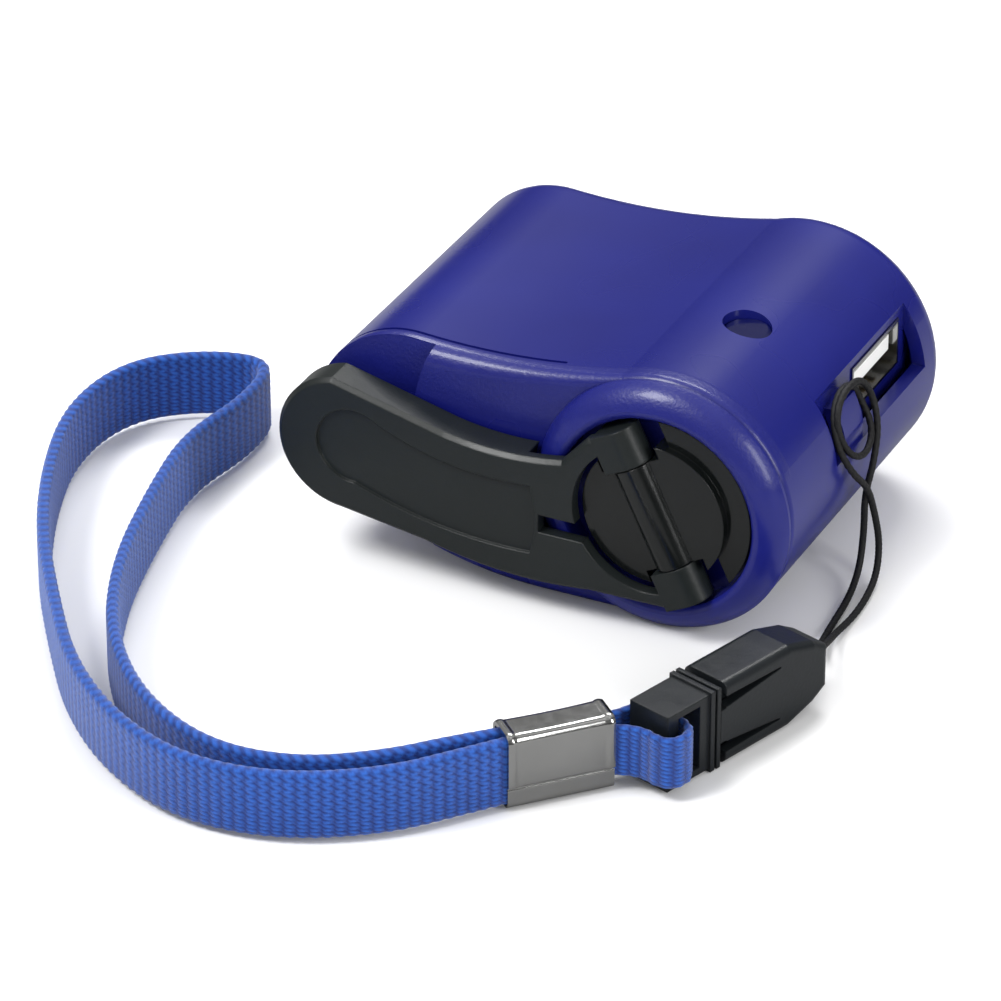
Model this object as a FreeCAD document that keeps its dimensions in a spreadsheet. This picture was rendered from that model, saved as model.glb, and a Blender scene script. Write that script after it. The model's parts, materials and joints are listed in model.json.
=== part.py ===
import FreeCAD, Part
import math
import os

# A hand crank charger for phones: a bean-shaped case with a folding crank on its front face, a three-stage
# gear train and generator inside, a socket on its right end, and a wrist strap on a quick-release buckle.
# Millimetres. +X runs to the socket end, +Y to the rear, +Z up. The crank turns about an axis along Y.

os.makedirs("parts", exist_ok=True)
doc = FreeCAD.newDocument("HandCrankCharger")
V = FreeCAD.Vector

# Driving dimensions

SIZES = {
    "overall_length": 60.0,
    "case_height": 30.0,
    "overall_depth": 48.0,
    "arm_overhang": 2.0,
    "left_lobe_step": 3.5,
    "left_lobe_rise": 1.0,
    "saddle_radius": 60.0,
    "foot_length": 15.0,
    "wall": 1.6,
    "rear_edge_radius": 3.0,
    "front_edge_radius": 1.0,
    "lip_radius": 2.2,
    "crease_depth": 0.3,
    "crease_width": 0.45,
    "parting_rise": 6.5,
    "front_setback": 4.6,
    "knob_relief_depth": 1.5,
    "running_gap": 0.3,
    "bezel_height": 2.8,
    "bezel_rim_radius": 13.25,
    "bezel_inner_radius": 11.5,
    "bezel_floor_depth": 3.5,
    "bezel_floor_thickness": 1.2,
    "spigot_radius": 12.9,
    "bush_radius": 4.2,
    "bush_length": 4.9,
    "hub_shaft_radius": 3.0,
    "shaft_clearance": 0.05,
    "disc_radius": 8.4,
    "disc_face_depth": 1.6,
    "collar_step": 1.0,
    "barrel_radius": 2.4,
    "barrel_tilt": 26.0,
    "barrel_length": 21.4,
    "knuckle_middle": 12.2,
    "knuckle_gap": 0.15,
    "hinge_pin_radius": 0.8,
    "arm_thickness": 4.1,
    "arm_skin": 1.5,
    "arm_bevel": 0.5,
    "arm_cutout_radius": 8.9,
    "arm_end_radius": 8.1,
    "knob_rise": 0.3,
    "knob_radius": 5.5,
    "knob_pocket_radius": 5.8,
    "knob_height": 3.6,
    "knob_pin_radius": 1.0,
    "rotor_inset": 0.3,
    "drive_depth": 5.9,
    "drive_teeth": 50.0,
    "wheel_teeth": 36.0,
    "pinion_teeth": 12.0,
    "rotor_teeth": 10.0,
    "gear_width": 2.0,
    "wheel_width": 1.5,
    "gear_shaft_radius": 0.8,
    "plate_thickness": 1.2,
    "plate_depth": 4.5,
    "plate_gap": 8.0,
    "can_margin": 2.7,
    "can_length": 12.0,
    "can_wall": 0.6,
    "magnet_margin": 3.0,
    "rotor_shaft_radius": 0.75,
    "board_thickness": 1.2,
    "usb_width": 13.2,
    "usb_height": 5.7,
    "usb_depth": 14.0,
    "usb_sheet": 0.35,
    "usb_inset": 13.8,
    "usb_drop": 1.3,
    "facet_cut": 3.0,
    "lens_radius": 2.75,
    "lens_offset": 2.5,
    "lens_depth": 15.9,
    "board_depth": 18.4,
    "board_length": 30.4,
    "screw_head_radius": 1.7,
    "screw_radius": 0.9,
    "string_diameter": 0.8,
    "strap_width": 8.0,
    "strap_thickness": 1.4,
    "tab_width": 6.2,
    "strap_floor_gap": 0.6,
    "ferrule_length": 12.0,
    "ferrule_height": 9.2,
    "ferrule_thickness": 4.6,
    "ferrule_sheet": 0.5,
    "buckle_height": 10.0,
    "buckle_thickness": 6.0,
    "socket_length": 17.2,
    "plug_flange": 1.6,
    "plug_loop_length": 6.4,
    "prong_length": 9.0,
}

sheet = doc.addObject("Spreadsheet::Sheet", "Sizes")
for row, (alias, value) in enumerate(SIZES.items(), start=1):
    sheet.set(f"A{row}", alias)
    sheet.set(f"B{row}", str(value))
    sheet.setAlias(f"B{row}", alias)
doc.recompute()


def size(alias):
    return float(getattr(sheet, alias))


nodes = {}


def keep(label, obj):
    obj.Label = label
    nodes[label] = obj
    return obj


# Sketch helpers

def arc(a, b, c):
    return Part.ArcOfCircle(V(*a, 0), V(*b, 0), V(*c, 0))


def line(a, b):
    return Part.LineSegment(V(*a, 0), V(*b, 0))


def circle(x, y, radius):
    return Part.Circle(V(x, y, 0), V(0, 0, 1), radius)


def polygon(*points):
    return [line(p, q) for p, q in zip(points, points[1:] + points[:1])]


def rectangle(x0, y0, x1, y1):
    return polygon((x0, y0), (x1, y0), (x1, y1), (x0, y1))


def new_body(label):
    return keep(label, doc.addObject("PartDesign::Body", "Body_" + label))


def sketch(body, plane, shift, curves):
    """A sketch on one of the body's own origin planes, moved along the plane's normal."""
    made = body.newObject("Sketcher::SketchObject", "Sketch_" + body.Label)
    support = [f for f in body.Origin.OriginFeatures if f.Role == plane][0]
    made.AttachmentSupport = [(support, "")]
    made.MapMode = "FlatFace"
    made.AttachmentOffset = FreeCAD.Placement(V(0, 0, shift), FreeCAD.Rotation())
    made.addGeometry(curves, False)
    return made


def bind(obj, prop, value):
    if isinstance(value, str):
        obj.setExpression(prop, value)
    else:
        setattr(obj, prop, value)


def pad(body, plane, shift, curves, length, reverse=False):
    feature = body.newObject("PartDesign::Pad", "Pad_" + body.Label)
    feature.Profile = sketch(body, plane, shift, curves)
    bind(feature, "Length", length)
    feature.Reversed = reverse
    return feature


def pocket(body, plane, shift, curves, length, reverse=False):
    """Cuts against the plane's normal, or along it when reversed."""
    doc.recompute()
    before = body.Shape.Volume
    feature = body.newObject("PartDesign::Pocket", "Pocket_" + body.Label)
    feature.Profile = sketch(body, plane, shift, curves)
    bind(feature, "Length", length)
    feature.Reversed = reverse
    doc.recompute()
    if not body.Shape.Volume < before:
        raise RuntimeError("a pocket cut nothing in " + body.Label)
    return feature


def chamfer(body, width, chosen):
    """Bevels the edges of the body's tip for which chosen(edge) is true."""
    doc.recompute()
    tip = body.Tip
    names = [f"Edge{i}" for i, edge in enumerate(tip.Shape.Edges, start=1) if chosen(edge)]
    feature = body.newObject("PartDesign::Chamfer", "Chamfer_" + body.Label)
    feature.Base = (tip, names)
    bind(feature, "Size", width)
    doc.recompute()
    return feature


def turned(label, profile, place=None):
    """A piece turned about its own Y axis from (radius, along) points."""
    body = new_body(label)
    feature = body.newObject("PartDesign::Revolution", "Turn_" + label)
    made = sketch(body, "XY_Plane", 0, polygon(*profile))
    feature.Profile = made
    feature.ReferenceAxis = (made, ["V_Axis"])
    feature.Angle = 360
    if place is not None:
        body.Placement = place
    return body


def solid(label, shape, place=None):
    feature = keep(label, doc.addObject("Part::Feature", "Piece_" + label))
    feature.Shape = shape
    if place is not None:
        feature.Placement = place
    return feature


def block(label, x0, y0, z0, x1, y1, z1):
    box = keep(label, doc.addObject("Part::Box", "Box_" + label))
    box.Length, box.Width, box.Height = x1 - x0, y1 - y0, z1 - z0
    box.Placement = FreeCAD.Placement(V(x0, y0, z0), FreeCAD.Rotation())
    return box


def at(x, y, z):
    return FreeCAD.Placement(V(x, y, z), FreeCAD.Rotation())


# Places worked out from the driving dimensions

half_length = size("overall_length") / 2
front = -size("overall_depth") / 2
rear = size("overall_depth") / 2
big = size("case_height") / 2
hub_x = half_length - big
hub_z = big
small = big - size("left_lobe_step")
lobe_x = small + size("arm_overhang") - half_length
lobe_z = hub_z + size("left_lobe_rise")
foot = hub_x - size("foot_length")
wall = size("wall")
parting = hub_z + size("parting_rise")
fit = size("shaft_clearance")
gap = size("running_gap")
case_front = front + size("front_setback")
rim_y = case_front - size("bezel_height")
floor_y = rim_y + size("bezel_floor_depth")


def outline(inset):
    """The bean outline in the XZ plane: two lobes, a dished top, a rounded underside and a flat foot."""
    r1, r2 = big - inset, small - inset
    rs = size("saddle_radius") + inset
    dx, dz = hub_x - lobe_x, hub_z - lobe_z
    span = math.hypot(dx, dz)
    d1, d2 = rs + r1, rs + r2
    along = (d1 * d1 - d2 * d2 + span * span) / (2 * span)
    up = math.sqrt(d1 * d1 - along * along)
    ux, uz = -dx / span, -dz / span
    sx, sz = hub_x + along * ux + up * -abs(uz) * math.copysign(1, uz), hub_z + along * uz + up * abs(ux)
    t1 = (hub_x + (sx - hub_x) * r1 / d1, hub_z + (sz - hub_z) * r1 / d1)
    t2 = (lobe_x + (sx - lobe_x) * r2 / d2, lobe_z + (sz - lobe_z) * r2 / d2)
    mid = (sx + (t1[0] + t2[0] - 2 * sx) / 2, sz)
    reach = math.hypot(mid[0] - sx, 0)
    mid = (mid[0], sz - math.sqrt(rs * rs - reach * reach))
    rb = ((foot - lobe_x) ** 2 + lobe_z ** 2 - small * small) / (2 * (lobe_z - small))
    belly = rb - inset
    vx, vz = lobe_x - foot, lobe_z - rb
    reach = math.hypot(vx, vz)
    t3 = (foot + vx / reach * belly, rb + vz / reach * belly)
    half = math.atan2(vx, -vz) / 2
    t4 = (foot + belly * math.sin(half), rb - belly * math.cos(half))
    return [
        arc((hub_x, inset), (hub_x + r1, hub_z), t1),
        arc(t1, mid, t2),
        arc(t2, (lobe_x - r2, lobe_z), t3),
        arc(t3, t4, (foot, inset)),
        line((foot, inset), (hub_x, inset)),
    ]


def bean(inset, y0, y1):
    face = Part.Face(Part.Wire(Part.sortEdges([c.toShape() for c in outline(inset)])[0]))
    face.rotate(V(0, 0, 0), V(1, 0, 0), 90)
    face.translate(V(0, y0, 0))
    return face.extrude(V(0, y1 - y0, 0))


def half_of(shape, upper):
    box = Part.makeBox(200, 200, 100, V(-100, -100, parting if upper else parting - 100))
    return shape.common(box)


def ring_cut(radius_in, radius_out, y0, y1):
    outer = Part.makeCylinder(radius_out, y1 - y0, V(hub_x, y0, hub_z), V(0, 1, 0))
    inner = Part.makeCylinder(radius_in, y1 - y0, V(hub_x, y0, hub_z), V(0, 1, 0))
    return outer.cut(inner)


# The case: one bean-shaped box, hollowed, then parted into two shells

knob_x = size("arm_end_radius") - half_length
knob_z = hub_z + size("knob_rise")
knob_reach = math.hypot(hub_x - knob_x, hub_z - knob_z)
arm_back = front + size("arm_thickness")
relief_y = case_front + size("knob_relief_depth")
drive, wheel, pinion, rotor = (size(n) for n in ("drive_teeth", "wheel_teeth", "pinion_teeth", "rotor_teeth"))
rotor_x = lobe_x + size("rotor_inset")
module = 2 * (hub_x - rotor_x) / (drive + 2 * pinion + 2 * wheel + rotor)
a_x = hub_x - module * (drive + pinion) / 2
b_x = a_x - module * (wheel + pinion) / 2
can_r = small - wall - size("can_margin")

skin = bean(0, case_front, rear)
rear_edges = [e for e in skin.Edges if all(abs(v.Point.y - rear) < 1e-6 for v in e.Vertexes)]
skin = skin.makeFillet(size("rear_edge_radius"), rear_edges)
# The front edge is rounded all round, most over the left lobe's top, where it forms a lip behind a crease
edge_r, lip_r = size("front_edge_radius"), size("lip_radius")
blank = doc.addObject("Part::Feature", "Case_blank")
blank.Shape = skin
rounding = doc.addObject("Part::Fillet", "Case_rounding")
rounding.Base = blank
radii = []
for number, edge in enumerate(skin.Edges, start=1):
    points = [v.Point for v in edge.Vertexes]
    if any(abs(p.y - case_front) > 1e-6 for p in points):
        continue
    ends = [lip_r if p.x < 0 and p.z > lobe_z else edge_r for p in points]
    radii.append((number, *ends))
rounding.Edges = radii
doc.recompute()
skin = rounding.Shape.copy()
crease_y = case_front + lip_r + 0.3
crease = bean(-1, crease_y, crease_y + size("crease_width"))
crease = crease.cut(bean(size("crease_depth"), crease_y, crease_y + size("crease_width")))
crease = crease.common(Part.makeBox(40, 10, 30, V(-38, crease_y - 1, parting + 1)))
skin = skin.cut(crease)
relief_r = knob_reach - size("knob_radius") - 2 * gap
skin = skin.cut(ring_cut(relief_r, 90, case_front - 5, relief_y))
hollow = bean(wall, case_front + wall, rear - wall)
hollow = hollow.cut(ring_cut(relief_r - wall, 90, case_front, relief_y + wall))
skin = skin.cut(hollow)
spigot_hole = size("spigot_radius") + 0.1
skin = skin.cut(Part.makeCylinder(spigot_hole, 6, V(hub_x, case_front - 1, hub_z), V(0, 1, 0)))

# The socket end: a flat facet with the strap post standing in it, and the port opening
facet = half_length - size("facet_cut")
usb_y = rear - size("usb_inset")
usb_z = parting - size("usb_drop")
post_left, post_right, post_top = usb_y - 14.0, usb_y - 9.0, parting + 0.4
recess_low, recess_high = parting - 4.8, parting + 3.1
recess_left, recess_right = usb_y - 16.9, usb_y + size("usb_width") / 2 + 1.6
recess = Part.makeBox(10, recess_right - recess_left, recess_high - recess_low, V(facet, recess_left, recess_low))
post = Part.makeBox(2.6, post_right - post_left, post_top - recess_low, V(facet, post_left, recess_low))
skin = skin.cut(recess.cut(post))
backing = Part.makeBox(1.8, recess_right - recess_left + 2 * wall, recess_high - recess_low + 3.2,
                       V(facet - 1.8, recess_left - wall, recess_low - 1.6))
skin = skin.fuse(backing.common(bean(0.4, case_front, rear)))
port = Part.makeBox(8, size("usb_width") + 0.2, size("usb_height") + 0.2,
                    V(facet - 6, usb_y - size("usb_width") / 2 - 0.1, usb_z - size("usb_height") / 2 - 0.1))
skin = skin.cut(port).removeSplitter()

# The window for the charge light, in a shallow round recess in the top
lens_x, lens_y = hub_x + size("lens_offset"), case_front + size("lens_depth")
lens_r = size("lens_radius")
lens_top = hub_z + math.sqrt(big ** 2 - (abs(lens_x - hub_x) + lens_r) ** 2) - 0.5
skin = skin.cut(Part.makeCylinder(lens_r, 4, V(lens_x, lens_y, lens_top), V(0, 0, 1)))
skin = skin.cut(Part.makeCylinder(1.2, 6, V(lens_x, lens_y, lens_top - 4), V(0, 0, 1)))

# Screw posts: the lower shell's stand on its floor, the upper shell's meet them at the parting
board_x1 = facet - 2.6
board_x0 = board_x1 - size("board_length")
board_y1 = usb_y + 6.8
board_y0 = board_y1 - size("board_depth")
board_posts = [(board_x0 + 3.0, board_y0 + 2.6), (board_x1 - 6.4, board_y0 + 3.4),
               (board_x0 + 3.0, board_y1 - 2.0), (board_x1 - 4.4, board_y1 - 2.0)]
screw_places = [(lobe_x - 6.0, rear - 6.0), (hub_x - 11.0, rear - 4.5), (lobe_x - 6.5, case_front + 10.9),
                (hub_x + 7.5, case_front + 13.4)]
post_radius = 2.4
screw_depth = 2.8
belly_radius = ((foot - lobe_x) ** 2 + lobe_z ** 2 - small * small) / (2 * (lobe_z - small))


def underside(x):
    """Height of the case's underside at x."""
    if x > hub_x:
        return hub_z - math.sqrt(big ** 2 - (x - hub_x) ** 2)
    if x > foot:
        return 0.0
    tangent = foot + (lobe_x - foot) * belly_radius / (belly_radius - small)
    if x > tangent:
        return belly_radius - math.sqrt(belly_radius ** 2 - (x - foot) ** 2)
    return lobe_z - math.sqrt(small ** 2 - (x - lobe_x) ** 2)


def post_at(x, y, z0, z1, radius):
    return Part.makeCylinder(radius, z1 - z0, V(x, y, z0), V(0, 0, 1))


inside = bean(wall / 2, case_front + wall / 2, rear - wall / 2)
upper = half_of(skin, True)
lower = half_of(skin, False)
for x, y in screw_places:
    upper = upper.fuse(post_at(x, y, parting, 40, post_radius).common(inside))
    lower = lower.fuse(post_at(x, y, 0, parting, post_radius).common(inside))
    lower = lower.cut(post_at(x, y, -1, underside(x) + screw_depth, size("screw_head_radius") + 0.2))
    lower = lower.cut(post_at(x, y, 0, parting + 1, size("screw_radius") + 0.1))
    upper = upper.cut(post_at(x, y, parting - 1, parting + 3.0, size("screw_radius")))
board_top = usb_z - size("usb_height") / 2
board = size("board_thickness")
for x, y in board_posts:
    lower = lower.fuse(post_at(x, y, 0, board_top - board, 1.5).common(inside))
cradle_y = case_front + 19.9
cradle = Part.makeBox(2 * can_r - 2, 3.0, hub_z, V(rotor_x - can_r + 1, cradle_y, 0))
cradle = cradle.cut(Part.makeCylinder(can_r + fit, 3.0, V(rotor_x, cradle_y, hub_z), V(0, 1, 0)))
lower = lower.fuse(cradle.common(inside))
solid("upper_shell", upper.removeSplitter())
solid("lower_shell", lower.removeSplitter())

for number, (x, y) in enumerate(screw_places, start=1):
    z = underside(x) + screw_depth
    length = parting + 2.6 - z
    r, head = size("screw_radius"), size("screw_head_radius")
    profile = [(0, -1.4), (head, -1.4), (head, 0), (r, 0), (r, length), (0, length)]
    turned(f"case_screw_{number}", profile,
           FreeCAD.Placement(V(x, y, z), FreeCAD.Rotation(V(1, 0, 0), 90)))

# The ring round the crank hub, with its bush
spigot = size("spigot_radius")
rim, mouth = size("bezel_rim_radius"), size("bezel_inner_radius")
back_y = floor_y + size("bezel_floor_thickness")
bush_end = floor_y + size("bush_length")
bush_r = size("bush_radius")
body = new_body("hub_bezel")
curve = [
    line((bush_r, floor_y), (mouth, floor_y)),
    line((mouth, floor_y), (mouth, rim_y + 0.3)),
    arc((mouth, rim_y + 0.3), (mouth + 0.35, rim_y + 0.07), (mouth + 0.9, rim_y)),
    arc((mouth + 0.9, rim_y), (rim, rim_y + 0.35), (big, case_front - 0.4)),
    line((big, case_front - 0.4), (big, case_front)),
    line((big, case_front), (spigot, case_front)),
    line((spigot, case_front), (spigot, back_y)),
    line((spigot, back_y), (bush_r + 1.4, back_y)),
    line((bush_r + 1.4, back_y), (bush_r + 1.4, bush_end)),
    line((bush_r + 1.4, bush_end), (bush_r, bush_end)),
    line((bush_r, bush_end), (bush_r, floor_y)),
]
feature = body.newObject("PartDesign::Revolution", "Turn_hub_bezel")
made = sketch(body, "XY_Plane", 0, curve)
feature.Profile = made
feature.ReferenceAxis = (made, ["V_Axis"])
body.Placement = at(hub_x, 0, hub_z)

hub_r = size("hub_shaft_radius")
bore = hub_r + fit
turned("hub_bush", [(bore, floor_y), (bush_r, floor_y), (bush_r, bush_end), (bore, bush_end)], at(hub_x, 0, hub_z))

# The crank hub: a notched disc with the middle hinge knuckle across it, and the shaft behind

tilt = size("barrel_tilt")
axis_y = front + size("barrel_radius")
disc_front = front + size("disc_face_depth")
disc_back = floor_y - gap
knuckle = size("knuckle_middle") / 2
barrel_half = size("barrel_length") / 2
across = FreeCAD.Placement(V(hub_x, axis_y, hub_z), FreeCAD.Rotation(V(0, 1, 0), -tilt))
pin_r = size("hinge_pin_radius")
pin_bore = pin_r + fit
barrel_r = size("barrel_radius")


def along_barrel(s0, s1, radius):
    rod = Part.makeCylinder(radius, s1 - s0, V(0, 0, s0), V(0, 0, 1))
    rod.Placement = across.multiply(rod.Placement)
    return rod


def beside_barrel(p0, y0, s0, p1, y1, s1):
    box = Part.makeBox(p1 - p0, y1 - y0, s1 - s0, V(p0, y0, s0))
    box.Placement = across.multiply(box.Placement)
    return box


drive_front = case_front + size("drive_depth")
drive_back = drive_front + size("gear_width")
disc_r = size("disc_radius")
disc = Part.makeCylinder(disc_r, disc_back - disc_front, V(hub_x, disc_front, hub_z), V(0, 1, 0))
disc = disc.fuse(Part.makeCylinder(hub_r, drive_back + 1.0 - disc_back, V(hub_x, disc_back, hub_z), V(0, 1, 0)))
notch = knuckle + 0.05
sweep = 3.7
for s0, s1 in ((notch, 15), (-15, -notch)):
    disc = disc.cut(beside_barrel(-sweep, disc_front - axis_y - 2, s0, sweep, disc_back - axis_y, s1))
disc = disc.fuse(along_barrel(-knuckle, knuckle, barrel_r))
# A lower collar fills the ring beside the disc, on the side that the folded arm leaves free
collar_reach = 15
collar = ring_cut(disc_r - 0.1, mouth - 0.4, disc_front + size("collar_step"), disc_back)
collar = collar.common(beside_barrel(sweep + 1.2, -5, -collar_reach, collar_reach, 5, collar_reach))
disc = disc.fuse(collar)
disc = disc.cut(along_barrel(-knuckle - 1, knuckle + 1, pin_bore))
screw_bore = 1.0
disc = disc.cut(Part.makeCylinder(screw_bore + fit, 5, V(hub_x, drive_back - 4.0, hub_z), V(0, 1, 0)))
solid("crank_hub", disc.removeSplitter())
solid("hinge_pin", along_barrel(-barrel_half + 0.4, barrel_half - 0.4, pin_r))

# The folding arm: a thick banana-shaped plate, thinned where it passes over the ring, cut round the disc

end_r = size("arm_end_radius")


def by_hub(dx, dz):
    return (hub_x + dx, hub_z + dz)


def by_knob(dx, dz):
    return (knob_x + dx, knob_z + dz)


arm_outline = [
    arc(by_knob(-0.4, -end_r), by_knob(-end_r, 0), by_knob(-1.4, end_r)),
    line(by_knob(-1.4, end_r), by_knob(12.4, 4.6)),
    arc(by_knob(12.4, 4.6), by_hub(-17.3, 4.2), by_hub(-10.4, 4.9)),
    line(by_hub(-10.4, 4.9), by_hub(-7.4, 8.3)),
    line(by_hub(-7.4, 8.3), by_hub(-5.0, 9.4)),
    line(by_hub(-5.0, 9.4), by_hub(0, 0)),
    line(by_hub(0, 0), by_hub(4.6, -9.4)),
    line(by_hub(4.6, -9.4), by_hub(2.4, -10.5)),
    line(by_hub(2.4, -10.5), by_hub(-7.0, -10.6)),
    arc(by_hub(-7.0, -10.6), by_hub(-18.5, -10.9), by_knob(9.9, -9.7)),
    line(by_knob(9.9, -9.7), by_knob(-0.4, -end_r)),
]
body = new_body("crank_arm_plate")
pad(body, "XZ_Plane", -arm_back, arm_outline, "Sizes.arm_thickness")


def outer_edge(e):
    """True for the front face's edges, apart from the two that meet at the hub."""
    in_front = all(abs(v.Point.y - front) < 1e-6 for v in e.Vertexes)
    return in_front and (e.BoundBox.XMax < hub_x - 3 or e.BoundBox.ZMax < hub_z - 7)


chamfer(body, "Sizes.arm_bevel", outer_edge)
panel = [
    line(by_hub(-14.0, -7.5), by_hub(-13.4, -4.8)),
    line(by_hub(-13.4, -4.8), by_hub(-13.4, -2.1)),
    line(by_hub(-13.4, -2.1), by_hub(-14.0, 1.0)),
    arc(by_hub(-14.0, 1.0), by_knob(12.4, 1.1), by_knob(3.9, 4.0)),
    arc(by_knob(3.9, 4.0), by_knob(-3.1, 1.3), by_knob(1.4, -4.4)),
    arc(by_knob(1.4, -4.4), by_knob(12.1, -7.3), by_hub(-14.0, -7.5)),
]
pocket(body, "XZ_Plane", -front, panel, 0.4)
cut_r = size("arm_cutout_radius")
pocket(body, "XZ_Plane", -front, [circle(hub_x, hub_z, cut_r)], size("arm_thickness"))
slot = rectangle(hub_x - 13.0, hub_z - 4.6, hub_x - cut_r + 1.2, hub_z - 2.4)
pocket(body, "XZ_Plane", -front, slot, size("arm_thickness"))
pocket(body, "XZ_Plane", -arm_back, [circle(hub_x, hub_z, big + 0.4)], size("arm_thickness") - size("arm_skin"),
       True)
pocket(body, "XZ_Plane", -arm_back, [circle(knob_x, knob_z, size("knob_pocket_radius"))],
       size("arm_thickness") - size("arm_skin"), True)
doc.recompute()
del nodes["crank_arm_plate"]
arm = body.Shape.copy()
inner = knuckle + size("knuckle_gap")
for s0, s1 in ((inner, barrel_half), (-barrel_half, -inner)):
    arm = arm.fuse(along_barrel(s0, s1, barrel_r))
    arm = arm.fuse(beside_barrel(-barrel_r, -barrel_r, s0, 0, arm_back - axis_y, s1))
arm = arm.cut(along_barrel(-barrel_half + 0.3, barrel_half - 0.3, pin_r))
knob_pin_r = size("knob_pin_radius")
arm = arm.cut(Part.makeCylinder(knob_pin_r, 1.2, V(knob_x, front + 0.7, knob_z), V(0, 1, 0)))
solid("crank_arm", arm.removeSplitter())

# The knob turns on a headed pin fixed in the arm, half sunk in the arm's back
knob_front = front + size("arm_skin") + gap
knob_back = knob_front + size("knob_height")
knob_r = size("knob_radius")
turned("knob_pin", [(0, front + 0.7), (knob_pin_r, front + 0.7), (knob_pin_r, knob_back - 1.5),
                    (2 * knob_pin_r, knob_back - 1.5), (2 * knob_pin_r, knob_back - 0.5), (0, knob_back - 0.5)],
       at(knob_x, 0, knob_z))
knob_bore = knob_pin_r + fit
head_bore = 2 * knob_pin_r + 0.15
head_front = knob_back - 1.5
turned("knob", [(knob_bore, knob_front), (knob_r - 0.6, knob_front), (knob_r, knob_front + 0.6),
                (knob_r, knob_back - 0.8), (knob_r - 0.8, knob_back), (head_bore, knob_back),
                (head_bore, head_front - 0.1), (knob_bore, head_front - 0.1)],
       at(knob_x, 0, knob_z))


# Gears: involute flanks drawn as arcs

def gear(teeth, width, y, turn, bore_radius, x):
    pitch = teeth * module / 2
    base = pitch * math.cos(math.radians(20))
    tip, root = pitch + 0.9 * module, pitch - 1.2 * module
    slack = 0.035 / pitch
    half_tooth = math.pi / (2 * teeth) - slack

    def flank(radius):
        angle = math.acos(min(1.0, base / radius))
        pitch_angle = math.radians(20)
        involute = math.tan(angle) - angle
        return half_tooth + (math.tan(pitch_angle) - pitch_angle) - involute

    def point(radius, angle):
        return V(radius * math.cos(angle), 0, radius * math.sin(angle))

    start = max(base, root)
    edges = []
    for tooth in range(int(teeth)):
        mid = turn + 2 * math.pi * tooth / teeth
        following = mid + 2 * math.pi / teeth
        low, high = flank(start), flank(tip)
        middle = (start + tip) / 2
        if root < start:
            edges.append(Part.LineSegment(point(root, mid - low), point(start, mid - low)).toShape())
        edges.append(Part.Arc(point(start, mid - low), point(middle, mid - flank(middle)),
                              point(tip, mid - high)).toShape())
        edges.append(Part.Arc(point(tip, mid - high), point(tip, mid), point(tip, mid + high)).toShape())
        edges.append(Part.Arc(point(tip, mid + high), point(middle, mid + flank(middle)),
                              point(start, mid + low)).toShape())
        if root < start:
            edges.append(Part.LineSegment(point(start, mid + low), point(root, mid + low)).toShape())
        floor_mid = (mid + low + following - low) / 2
        edges.append(Part.Arc(point(root, mid + low), point(root, floor_mid),
                              point(root, following - low)).toShape())
    face = Part.Face(Part.Wire(edges))
    shape = face.extrude(V(0, width, 0))
    if bore_radius:
        shape = shape.cut(Part.makeCylinder(bore_radius, width, V(0, 0, 0), V(0, 1, 0)))
    shape.translate(V(x, y, hub_z))
    return shape


gear_r = size("gear_shaft_radius")
gear_bore = gear_r + fit
width = size("gear_width")
thin = size("wheel_width")

solid("drive_gear", gear(drive, width, drive_front, 0.0, hub_r, hub_x))
# Each driven gear stands on its driver's left, where a gear with an even count of teeth at zero turn has a tooth,
# so the pinions are turned by half a tooth.
wheel_a_y = drive_back + 0.5
gear_a = gear(pinion, wheel_a_y - drive_front + 0.1, drive_front - 0.1, math.pi / pinion, gear_bore, a_x)
gear_a = gear_a.fuse(gear(wheel, thin, wheel_a_y, 0.0, gear_bore, a_x))
solid("gear_a", gear_a.removeSplitter())
gear_b = gear(pinion, width, wheel_a_y - 0.2, math.pi / pinion, gear_bore, b_x)
wheel_b_y = wheel_a_y - 0.2 + width
gear_b = gear_b.fuse(gear(wheel, thin, wheel_b_y, 0.0, gear_bore, b_x))
solid("gear_b", gear_b.removeSplitter())
rotor_r = size("rotor_shaft_radius")
rotor_pinion = gear(rotor, thin + 0.4, wheel_b_y - 0.2, math.pi / rotor, rotor_r, rotor_x)
solid("rotor_pinion", rotor_pinion)

# The two gear plates, their spacers, and the fixed gear shafts
plate = size("plate_thickness")
plate_a = case_front + size("plate_depth")
plate_b = plate_a + plate + size("plate_gap")
plate_up, plate_down = 8.7, 10.8
spacer_r = 1.2
spacer_tip = 0.6
spacer_places = [((a_x + b_x) / 2, hub_z + 7.6), ((a_x + b_x) / 2, hub_z - 8.6)]
for label, y, hub_hole in (("gear_plate_front", plate_a, 3.6), ("gear_plate_rear", plate_b, None)):
    body = new_body(label)
    left = b_x - 3.6 if hub_hole else rotor_x - 3.4
    foot_z = hub_z - plate_down
    plate_outline = polygon((b_x - 3.6, foot_z), (hub_x - 1.6, foot_z), (hub_x - 1.6, hub_z + plate_up),
                            (left, hub_z + plate_up), (left, hub_z - 7.8), (b_x - 3.7, hub_z - 7.8))
    pad(body, "XZ_Plane", -(y + plate), plate_outline, "Sizes.plate_thickness")
    for x in (a_x, b_x):
        pocket(body, "XZ_Plane", -y, [circle(x, hub_z, gear_r)], plate)
    for x, z in spacer_places:
        pocket(body, "XZ_Plane", -y, [circle(x, z, spacer_tip)], plate)
    if hub_hole:
        pocket(body, "XZ_Plane", -y, [circle(hub_x, hub_z, bush_r + 1.4)], plate)
    else:
        pocket(body, "XZ_Plane", -y, [circle(rotor_x, hub_z, 2.6)], plate)
for label, x in (("gear_shaft_a", a_x), ("gear_shaft_b", b_x)):
    turned(label, [(0, plate_a), (gear_r, plate_a), (gear_r, plate_b + plate), (0, plate_b + plate)],
           at(x, 0, hub_z))
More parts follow.
